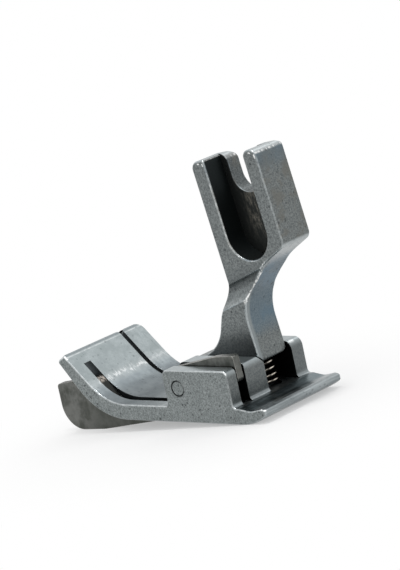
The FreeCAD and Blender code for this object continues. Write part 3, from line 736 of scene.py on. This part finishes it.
def neckWearAndSheen(look, tone, plain):
    # the neck's rear edge is painted bright as wear and as a painted highlight, and the rims beside it are
    # painted grey the same way
    tree, settings, parts, facing = look.tree, look.settings, look.parts, look.facing
    hollow = maths(tree, "SUBTRACT", parts["Z"], settings["reliefFrom"])
    hollow = maths(tree, "MAXIMUM", product(tree, hollow, settings["reliefSlope"]), 0.0)
    hollow = maths(tree, "MINIMUM", hollow, settings["reliefDepth"])
    hollow = product(tree, hollow, look.ramp(look.step, "stepEdge", "stepPlace"))
    nearFace = maths(tree, "SUBTRACT", settings["nearFace"], hollow)
    rearward = look.ramp(maths(tree, "SUBTRACT", facing["Y"], facing["Z"]), "rearward")
    atRear = maths(tree, "MAXIMUM", look.ramp(look.fromRear, "rearBand"),
                   look.ramp(look.step, "reliefEnd", "stepPlace"))
    tone = look.paint(tone, "neckEdgeWearAndSheen", look.ramp(parts["X"], "besideFace", "nearFace"), rearward,
                      look.ramp(parts["Z"], "neckEnd"), plain, atRear)
    onStep = product(tree, look.band(look.step, "stepRim", "stepPlace"),
                     look.ramp(facing["X"], "stepRimFacing"))
    tone = look.paint(tone, "rimWearAndSheen", look.wear["Rim"], plain, inverse(tree, onStep),
                      settings["rimShare"])
    ragged = product(tree, noise(tree, look.spot, *settings["raggedPatches"]), settings["raggedReach"])
    toFace = maths(tree, "SUBTRACT", maths(tree, "ADD", parts["X"], ragged), nearFace)
    return look.paint(tone, "edgeWearAndSheen", look.ramp(toFace, "ridgeFace"),
                      look.ramp(maths(tree, "ADD", look.fromRear, ragged), "ridgeRear"),
                      look.band(parts["Z"], "ridge"), look.patches("ridgePatches"))


def edgeShare(look):
    # how much of the edge wear and painted highlight shows: little on the near face of the neck and along
    # the groove
    tree, parts = look.tree, look.parts
    nearNeck = product(tree, look.band(parts["Z"], "neck"), look.ramp(look.facing["X"], "neckFacing"))
    share = maths(tree, "MAXIMUM", look.ramp(nearNeck, "neckWearAndSheen"), look.ramp(look.fromRear, "rearWear"))
    byGroove = product(tree, look.band(look.fromMiddle, "grooveEdge", "grooveRadius"),
                       look.ramp(parts["X"], "grooveEdgeFrom", "nearFace"))
    grooveShare = mixValue(tree, byGroove, 1.0, look.ramp(parts["Z"], "grooveWear", "grooveEnd"))
    return product(tree, share, grooveShare)


def headWearAndSheen(look, tone, plain):
    # painted highlights and wear: the groove's rim, the sharp edges, the dashes along the head's top and
    # the corners
    tree, settings, facing = look.tree, look.settings, look.facing
    tone = look.paint(tone, "edgeWearAndSheen", look.band(look.fromMiddle, "grooveRim", "grooveRadius"),
                      look.wear["Rim"], look.ramp(look.parts["X"], "grooveRimFrom"),
                      look.patches("grooveRimPatches"))
    tone = look.paint(tone, "edgeWearAndSheen", look.wear["Mask"], plain, edgeShare(look))
    topRim = product(tree, look.ramp(facing["Z"], "topRimUp"), look.ramp(facing["Y"], "topRimRear"),
                     look.ramp(look.parts["Z"], "topRimFrom"))
    tone = look.paint(tone, "edgeWearAndSheen", topRim, settings["topRimShare"])
    dashes = look.ramp(look.streaks(look.turned, "dashes"), "dashSpan")
    tone = look.paint(tone, "edgeWearAndSheen", look.band(facing["Z"], "topLine"), topRim, dashes)
    return look.paint(tone, "edgeWearAndSheen", look.cornerSpots())


def makeShankSteel():
    settings = shankSteel
    look = Look("shankSteel", settings)
    tree = look.tree
    look.turned = vectorMaths(tree, "SUBTRACT", upright(tree, look.spot, pinPlace), tuple(pinPlace))
    look.setFrame(look.turned, upright(tree, look.normal, (0, 0, 0)))
    parts = look.parts

    # places told from the head's step, the groove's middle line and the neck's rear edge
    look.step = maths(tree, "SUBTRACT", parts["Z"], product(tree, parts["Y"], settings["stepSlope"]))
    below = maths(tree, "MAXIMUM", maths(tree, "SUBTRACT", settings["grooveEnd"], parts["Z"]), 0.0)
    aside = maths(tree, "SUBTRACT", parts["Y"], settings["grooveMiddle"])
    flat = addNode(tree, "ShaderNodeCombineXYZ", {"X": below, "Y": aside}).outputs[0]
    look.fromMiddle = vectorMaths(tree, "LENGTH", flat)
    look.fromRear = maths(tree, "MINIMUM", *[
        maths(tree, "SUBTRACT", parts["Y"], maths(tree, "MULTIPLY_ADD", parts["Z"], slope, start))
        for slope, start in settings["neckRear"]])
    inGroove = product(tree, look.ramp(look.fromMiddle, "grooveInside", "grooveRadius"),
                       look.band(parts["X"], "grooveDepth"))
    plain = inverse(tree, inGroove)

    tone = mixColour(tree, inGroove, shankFaces(look), grooveTone(look, aside))
    tone = stepShade(look, slotTone(look, tone))
    tone = headWearAndSheen(look, neckWearAndSheen(look, tone, plain), plain)
    rough = mixValue(tree, look.speckle["Grain"], *settings["roughness"])
    rough = mixValue(tree, look.wear["Rim"], rough, settings["rimRoughness"])
    rough = mixValue(tree, inGroove, rough, settings["grooveRoughness"])
    flatNormal = addNode(tree, "ShaderNodeNewGeometry").outputs["Normal"]
    normal = addNode(tree, "ShaderNodeMix", {0: inGroove, 4: look.wear["Normal"], 5: flatNormal},
                     data_type="VECTOR").outputs[1]
    return look.dress(tone, rough, look.speckle["Height"], normal)


# The edge guide

darkSteel = {
    "light": colour(0.150, 0.154, 0.145),
    "dark": colour(0.072, 0.076, 0.068),
    "streakColour": colour(0.190, 0.194, 0.184),
    "topColour": colour(0.030, 0.031, 0.029),       # painted shade on the top of the blade and arm
    "bronzeGlint": colour(0.40, 0.36, 0.32),
    "edgeWearAndSheen": colour(0.62, 0.61, 0.57),
    "speckle": {"Grain": 0.25, "Blotch": 2.2, "Pit Spacing": 0.9, "Pit Share": 0.2},
    "wear": {"Radius": 0.12 * mm, "Low": 0.02, "High": 0.2, "Breakup": 0.5},
    "pitShare": 0.5,
    "brushed": ((900.0, 1800.0, 260.0), 3.0, 0.5),
    "brushedSpan": (0.42, 0.62, 0.0, 0.16),
    "toeShadowFront": (-21.5 * mm, -17.5 * mm),
    "toeShadowRear": (-6.0 * mm, -9.0 * mm),
    "toeShadowHeight": (3.0 * mm, -0.5 * mm),
    "toeShadowShare": 0.6,
    "upward": (0.3, 0.5),
    "topTo": (-9.0 * mm, -11.0 * mm),
    "bronze": (-16.7 * mm, -15.75 * mm, 0.2 * mm),
    "bronzePatches": (0.3 * mm, (0.42, 0.54), 3.0),
    "edgeShare": 0.8,
    "polishedSparkles": [(5.2, 8.5, 8.2, 0.45)],
    "sparklesFacing": (0.5, 0.5, 0.7),
    "roughness": (0.48, 0.33),    # in the grain's dark and light
    "bump": 0.14,
    "bumpDepth": 0.03 * mm,
}


def makeDarkSteel():
    settings = darkSteel
    look = Look("darkSteel", settings)
    look.setFrame(look.spot, look.normal)
    tree, parts, speckle, wear = look.tree, look.parts, look.speckle, look.wear
    tone = look.between(speckle["Blotch"], "dark", "light")
    tone = look.paint(tone, "dark", speckle["Pits"], settings["pitShare"])
    tone = look.paint(tone, "streakColour", look.ramp(look.streaks(look.spot, "brushed"), "brushedSpan"))
    # painted shadow of the toe on the blade
    tone = look.paint(tone, "dark", look.ramp(parts["Y"], "toeShadowFront"), look.ramp(parts["Y"], "toeShadowRear"),
                      look.ramp(parts["Z"], "toeShadowHeight"), settings["toeShadowShare"])
    onTop = product(tree, look.ramp(look.facing["Z"], "upward"), look.ramp(parts["Y"], "topTo"))
    # painted shade on the top of the blade and arm, under the toe and down in the slot
    tone = look.paint(tone, "topColour", onTop)
    # painted highlight, bronze-toned, where the top shows in the slot
    tone = look.paint(tone, "bronzeGlint", look.band(parts["Y"], "bronze"), onTop,
                      look.patches("bronzePatches"))
    tone = look.paint(tone, "edgeWearAndSheen", wear["Mask"], settings["edgeShare"])
    tone = look.paint(tone, "edgeWearAndSheen", look.cornerSpots())
    rough = mixValue(tree, speckle["Grain"], *settings["roughness"])
    return look.dress(tone, rough, speckle["Height"], wear["Normal"])


springWire = {
    "glint": colour(0.74, 0.68, 0.59),
    "dark": colour(0.030, 0.027, 0.023),
    "speckle": {"Grain": 0.1, "Blotch": 0.6},
    "glintTowards": ((0.66, 0.50, 0.56), (0.08, 0.91, 0.40)),     # painted highlights on the sides of the turns
    "glintSpan": (0.92, 0.99),
    "glintBlotch": (0.0, 0.6, 0.45, 1.0),
    "roughness": (0.26, 0.38),
    "bump": 0.1,
    "bumpDepth": 0.02 * mm,
}


def makeSpringWire():
    settings = springWire
    look = Look("springWire", settings)
    tree, speckle = look.tree, look.speckle
    # painted highlights on the turns, by the way they face; elsewhere the wire is near black as painted
    # shade
    sides = [look.ramp(vectorMaths(tree, "DOT_PRODUCT", look.normal, side), "glintSpan")
             for side in settings["glintTowards"]]
    glint = product(tree, maths(tree, "MAXIMUM", *sides), look.ramp(speckle["Blotch"], "glintBlotch"))
    tone = look.between(glint, "dark", "glint")
    rough = mixValue(tree, speckle["Grain"], *settings["roughness"])
    return look.dress(tone, rough, speckle["Height"])


print("building the steel finishes")
finishes = {
    "sole": makeSatinSteel(),
    "shank": makeShankSteel(),
    "guide_lever": makeDarkSteel(),
}
finishes["hinge_pin"] = finishes["sole"]
for nodeName, material in finishes.items():
    cadObject = frame["nodes"][nodeName]
    cadObject.data.materials.clear()
    cadObject.data.materials.append(material)


# Coil springs

springShape = {"lean": {"shank_spring": 7.6, "guide_spring": 0.0},     # degrees towards the toe
               "wire": {"shank_spring": 0.45 * mm, "guide_spring": 0.22 * mm},
               "turns": {"shank_spring": 4.0, "guide_spring": 6.5},
               "closedTurns": 0.5, "stepsPerTurn": 40, "wireSides": 12,
               "closedPitch": 1.09}    # of the closed turns, in wires


def makeSpring(node, material):
    shape = springShape
    low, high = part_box(node)
    lean = math.radians(shape["lean"][node])
    wire = shape["wire"][node]
    turns = shape["turns"][node]
    outer = (high.x - low.x) / 2
    length = (high.z - low.z - 2 * outer * math.sin(lean)) / math.cos(lean)
    closedPitch = wire * shape["closedPitch"]
    openTurns = turns - 2 * shape["closedTurns"]
    openPitch = (length - wire - 2 * shape["closedTurns"] * closedPitch) / openTurns
    tilt = Matrix.Translation((low + high) / 2) @ Matrix.Rotation(lean, 4, "X")
    verts, faces = [], []
    steps = round(turns * shape["stepsPerTurn"])
    sides = shape["wireSides"]
    for step in range(steps + 1):
        turn = turns * step / steps
        first = min(turn, shape["closedTurns"])
        middle = min(turn - first, openTurns)
        height = wire / 2 + (turn - middle) * closedPitch + middle * openPitch - length / 2
        angle = 2 * math.pi * turn
        for side in range(sides):
            around = 2 * math.pi * side / sides
            reach = outer - wire / 2 + wire / 2 * math.cos(around)
            up = height + wire / 2 * math.sin(around)
            verts.append(tilt @ Vector((reach * math.cos(angle), reach * math.sin(angle), up)))
    for step in range(steps):
        for side in range(sides):
            following = (side + 1) % sides
            a, b = step * sides + side, step * sides + following
            faces.append((a, b, b + sides, a + sides))
    faces.append(tuple(reversed(range(sides))))
    faces.append(tuple(range(steps * sides, (steps + 1) * sides)))
    mesh = bpy.data.meshes.new(node + "_coil")
    mesh.from_pydata(verts, [], faces)
    mesh.shade_smooth()
    piece = bpy.data.objects.new(node + "_coil", mesh)
    bpy.context.collection.objects.link(piece)
    mesh.materials.append(material)
    return piece, tilt @ Vector((0, 0, -length / 2)), tilt.to_3x3() @ Vector((0, 0, 1))


springMaterial = makeSpringWire()
springKeep = {"shank_spring": ("shank_hinge", 0.67), "guide_spring": ("guide_hinge", 0.70)}
for nodeName, (jointName, keep) in springKeep.items():
    coil, foot, axis = makeSpring(nodeName, springMaterial)
    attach(coil, "sole")
    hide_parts(nodeName)
    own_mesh(coil)
print("springs wound")


# Floor, world and lamps

studio = {
    "floorRadius": 0.45,
    "floorColour": colour(0.90, 0.90, 0.90),
    "floorRoughness": 0.9,
    "shadowKept": 8 * mm,       # radius round the part where the floor shows its own shade
    "whiteFrom": 42 * mm,       # and from where it is plain white
    "lift": 0.35,    # how far the shade is lifted under the part itself
    "fillStrength": 0.78,
    "overhead": {"place": (0.015, 0.02, 0.32), "size": 0.05, "power": 0.26},
    "far": {"place": (-0.27, -0.02, 0.29), "size": 0.10, "power": 0.06},
    "near": {"place": (0.30, 0.22, 0.22), "size": 0.25, "power": 0.06},
    "aim": (0, 0, 12 * mm),     # where the lamps point
}


def supportPlane():
    # the line, seen along X, that the part rests on: (y, z) of two points below its middle
    points = []
    for cadObject in frame["nodes"].values():
        points += [(v.co.y, v.co.z) for v in cadObject.data.vertices]
    points = sorted(set((round(y, 6), round(z, 6)) for y, z in points))
    hull = []
    for point in points:
        while len(hull) > 1 and turnsRight(hull[-2], hull[-1], point):
            hull.pop()
        hull.append(point)
    for before, after in zip(hull, hull[1:]):
        if before[0] < 0 <= after[0]:
            return before, after


def turnsRight(a, b, c):
    return (b[0] - a[0]) * (c[1] - a[1]) - (b[1] - a[1]) * (c[0] - a[0]) <= 0


def seenPlain(tree):
    # 1 for the rays that look at a thing rather than light it
    light = addNode(tree, "ShaderNodeLightPath")
    seen = maths(tree, "MAXIMUM", light.outputs["Is Camera Ray"], light.outputs["Is Glossy Ray"])
    return maths(tree, "MAXIMUM", seen, light.outputs["Is Transmission Ray"])


def makeFloor():
    front, rear = supportPlane()
    slope = (rear[1] - front[1]) / (rear[0] - front[0])
    half = studio["floorRadius"]
    lift = front[1] - slope * front[0]
    around = ((-half, -half), (half, -half), (half, half), (-half, half))
    corners = [(x, y, lift + slope * y) for x, y in around]
    mesh = bpy.data.meshes.new("floor")
    mesh.from_pydata(corners, [], [(0, 1, 2, 3)])
    floor = bpy.data.objects.new("floor", mesh)
    bpy.context.collection.objects.link(floor)
    material, tree, shader = newMaterial("paleFloor")
    shader.inputs["Base Color"].default_value = studio["floorColour"]
    shader.inputs["Roughness"].default_value = studio["floorRoughness"]
    away = vectorMaths(tree, "LENGTH", addNode(tree, "ShaderNodeTexCoord").outputs["Object"])
    fade = remap(tree, away, (studio["shadowKept"], studio["whiteFrom"], studio["lift"], 1.0))
    white = addNode(tree, "ShaderNodeEmission", {"Color": colour(1, 1, 1), "Strength": 1.0})
    shown = addNode(tree, "ShaderNodeMixShader", {
        0: product(tree, fade, seenPlain(tree)), 1: shader.outputs[0], 2: white.outputs[0]})
    surface = [node for node in tree.nodes if node.type == "OUTPUT_MATERIAL"][0]
    tree.links.new(shown.outputs[0], surface.inputs["Surface"])
    mesh.materials.append(material)


def makeWorld():
    world = bpy.data.worlds.new("studio")
    bpy.context.scene.world = world
    world.use_nodes = True
    tree = world.node_tree
    tree.nodes.clear()
    surface = tree.nodes.new("ShaderNodeOutputWorld")
    fill, white = [addNode(tree, "ShaderNodeBackground", {"Color": colour(1, 1, 1), "Strength": strength})
                   for strength in (studio["fillStrength"], 1.0)]
    mix = addNode(tree, "ShaderNodeMixShader", {
        0: seenPlain(tree), 1: fill.outputs[0], 2: white.outputs[0]})
    tree.links.new(mix.outputs[0], surface.inputs["Surface"])


def makeLamp(name, settings):
    data = bpy.data.lights.new(name, "AREA")
    data.energy = settings["power"]
    data.size = settings["size"]
    lamp = bpy.data.objects.new(name, data)
    bpy.context.collection.objects.link(lamp)
    lamp.location = settings["place"]
    aim = Vector(studio["aim"]) - lamp.location
    lamp.rotation_euler = aim.to_track_quat("-Z", "Y").to_euler()


makeFloor()
makeWorld()
for lampName in ("overhead", "far", "near"):
    makeLamp(lampName, studio[lampName])
print("floor, world and lamps set")


# Camera at the photograph's viewing angle

viewpoint = {
    "azimuth": 45.52,      # degrees from +X towards +Y
    "elevation": 12.24,
    "roll": -12.18,
    "distance": 376.93 * mm,
    "target": Vector((1.3, 0.87, 12.0)) * mm,
    "right": -0.26 * mm,   # small moves of the target in the picture's plane
    "up": 4.03 * mm,
    "focalPixels": 3000.0,
    "picturePixels": 570.0,
    "sensor": 36.0,
    "clipStart": 0.01,
}


def makeCamera():
    azimuth = math.radians(viewpoint["azimuth"])
    elevation = math.radians(viewpoint["elevation"])
    roll = math.radians(viewpoint["roll"])
    back = Vector((math.cos(azimuth) * math.cos(elevation), math.sin(azimuth) * math.cos(elevation),
                   math.sin(elevation)))
    right = (-back).cross(Vector((0, 0, 1))).normalized()
    up = right.cross(-back)
    turnedRight = math.cos(roll) * right + math.sin(roll) * up
    turnedUp = math.cos(roll) * up - math.sin(roll) * right
    place = viewpoint["target"] + viewpoint["distance"] * back
    place += viewpoint["right"] * turnedRight + viewpoint["up"] * turnedUp
    data = bpy.data.cameras.new("camera")
    data.sensor_width = viewpoint["sensor"]
    data.lens = viewpoint["focalPixels"] / viewpoint["picturePixels"] * viewpoint["sensor"]
    data.clip_start = viewpoint["clipStart"]
    camera = bpy.data.objects.new("camera", data)
    bpy.context.collection.objects.link(camera)
    turn = Matrix((turnedRight, turnedUp, back)).transposed().to_4x4()
    camera.matrix_world = Matrix.Translation(place) @ turn
    bpy.context.scene.camera = camera


makeCamera()
bpy.context.scene.view_settings.view_transform = "Standard"
print("camera set")
